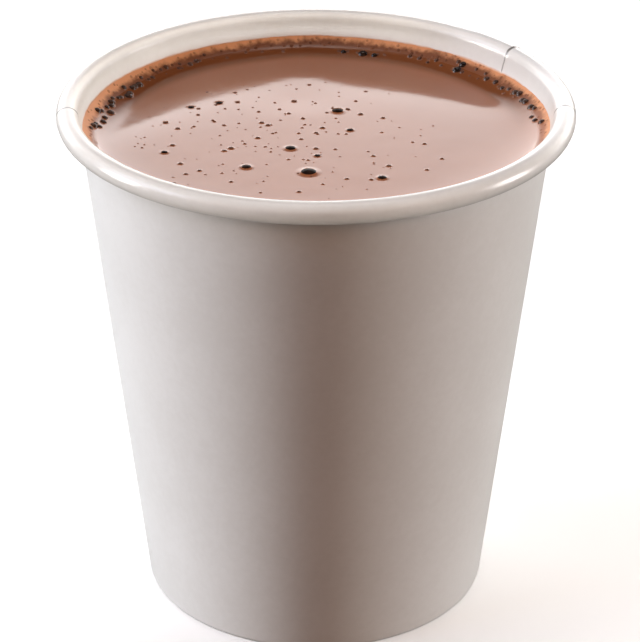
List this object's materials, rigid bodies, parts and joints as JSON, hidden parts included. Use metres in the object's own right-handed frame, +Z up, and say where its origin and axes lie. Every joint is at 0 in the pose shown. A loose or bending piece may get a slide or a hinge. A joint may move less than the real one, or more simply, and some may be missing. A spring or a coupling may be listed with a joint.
{
  "type": "hot chocolate in a paper cup",
  "caption": "Hot chocolate that fills a plain white single-wall paper cup almost to its rolled rim, with fine bubbles on the surface",
  "frame": {"origin": "middle of the cup's foot, on the surface it stands on", "axes": "+Z up along the cup's axis; the picture looks along +Y from the front, with +X to the right; the side seam is at the back right"},
  "size_m": [0.08, 0.08, 0.0831],
  "materials": {
    "cup_paper": "white coated paper, satin",
    "base_paper": "white coated paper, matte below",
    "drink": "milky brown liquid, glossy"
  },
  "bodies": {
    "root": {"cup_wall": "cup_paper", "cup_base": "base_paper", "hot_chocolate": "drink"}
  },
  "joints": []
}
